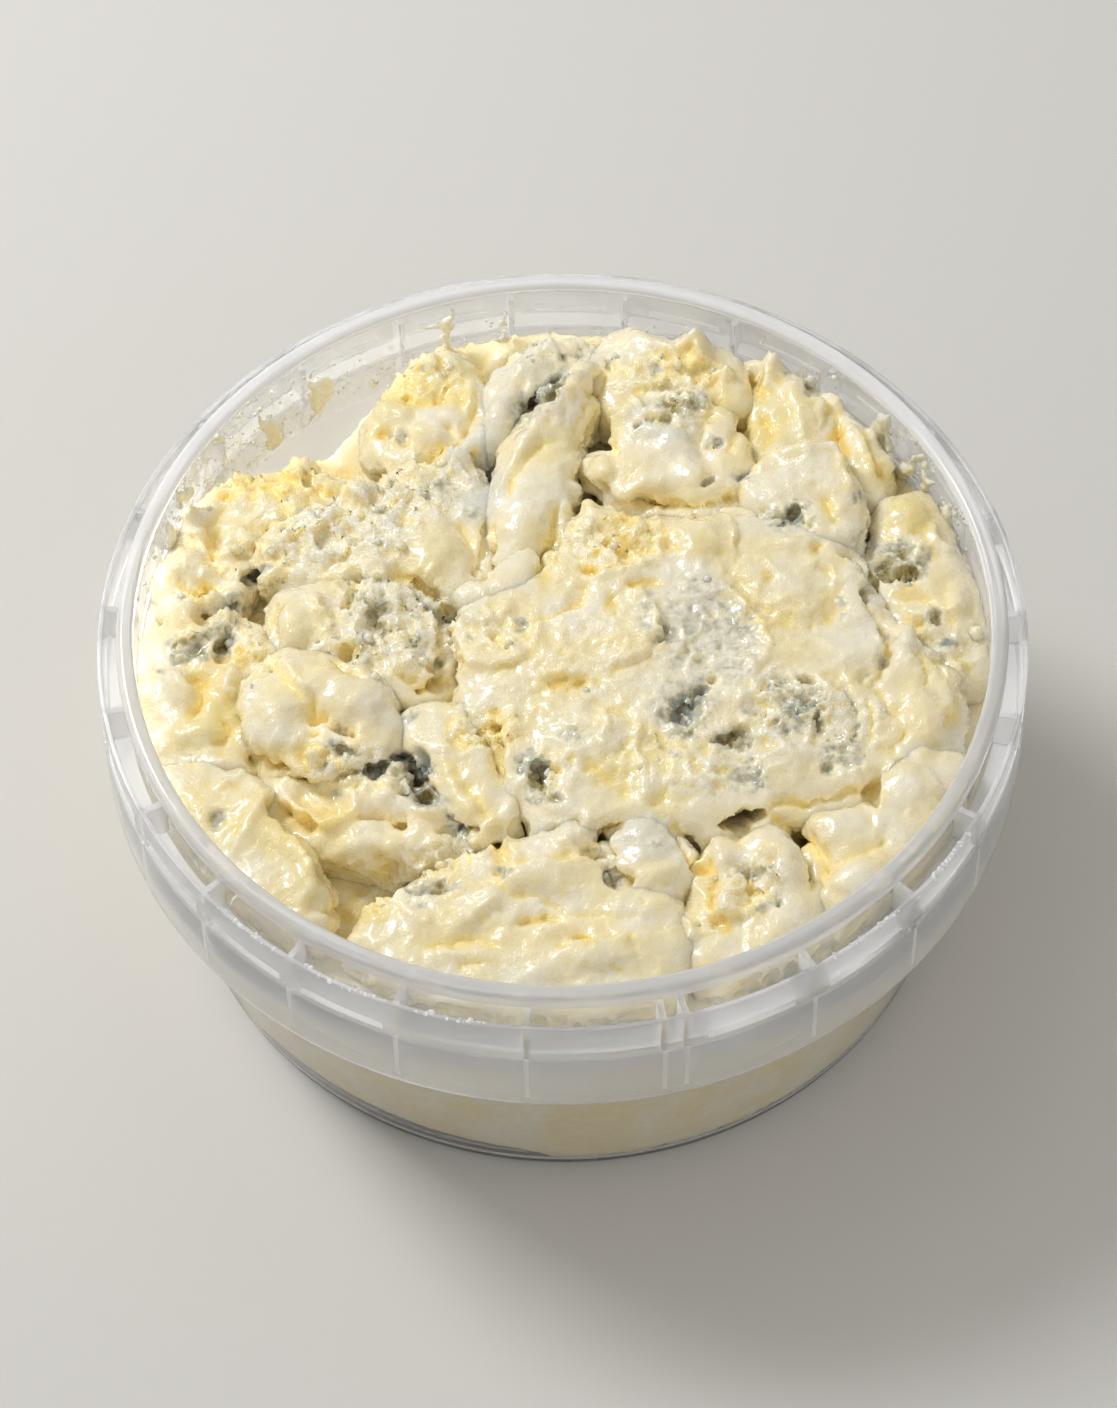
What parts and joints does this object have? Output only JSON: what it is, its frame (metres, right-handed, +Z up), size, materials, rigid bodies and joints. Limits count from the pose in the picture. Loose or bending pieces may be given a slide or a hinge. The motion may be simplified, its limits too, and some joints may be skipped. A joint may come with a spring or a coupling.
{
  "type": "tub of gorgonzola",
  "caption": "Clear round plastic tub with a rounded rim and a slotted collar, filled with uneven scooped lumps of creamy blue-veined cheese.",
  "frame": {"origin": "middle of the tub's flat base, on the surface that it stands on", "axes": "+Z up through the middle of the rim; the side seen in the picture faces -Y; +X to its right"},
  "size_m": [0.118, 0.118, 0.0515],
  "materials": {
    "clear_plastic": "milky translucent polypropylene, softly glossy",
    "cream_cheese": "moist cream-coloured soft cheese",
    "veined_cheese": "moist greyish-white cheese with blue-green mould"
  },
  "bodies": {
    "root": {"tub": "clear_plastic", "cheese_bed": "cream_cheese", "cheese_leaf_flap": "cream_cheese", "cheese_corner_piece": "cream_cheese", "cheese_great_slab": "cream_cheese", "cheese_curl_lobe": "cream_cheese", "cheese_front_tongue": "cream_cheese", "cheese_back_tongue": "cream_cheese", "cheese_upper_chunk": "veined_cheese", "cheese_grainy_left": "veined_cheese", "cheese_upper_left": "veined_cheese", "cheese_back_middle": "veined_cheese", "cheese_back_left": "cream_cheese", "cheese_back_crest": "cream_cheese", "cheese_back_right": "cream_cheese", "cheese_right_side": "cream_cheese", "cheese_bottom_middle": "cream_cheese", "cheese_bottom_right": "cream_cheese", "cheese_right_front": "cream_cheese", "cheese_front_swirl": "cream_cheese", "cheese_left_front": "cream_cheese", "cheese_crumbly_left": "veined_cheese", "cheese_left_edge": "cream_cheese", "cheese_left_upper_edge": "cream_cheese"}
  },
  "joints": []
}
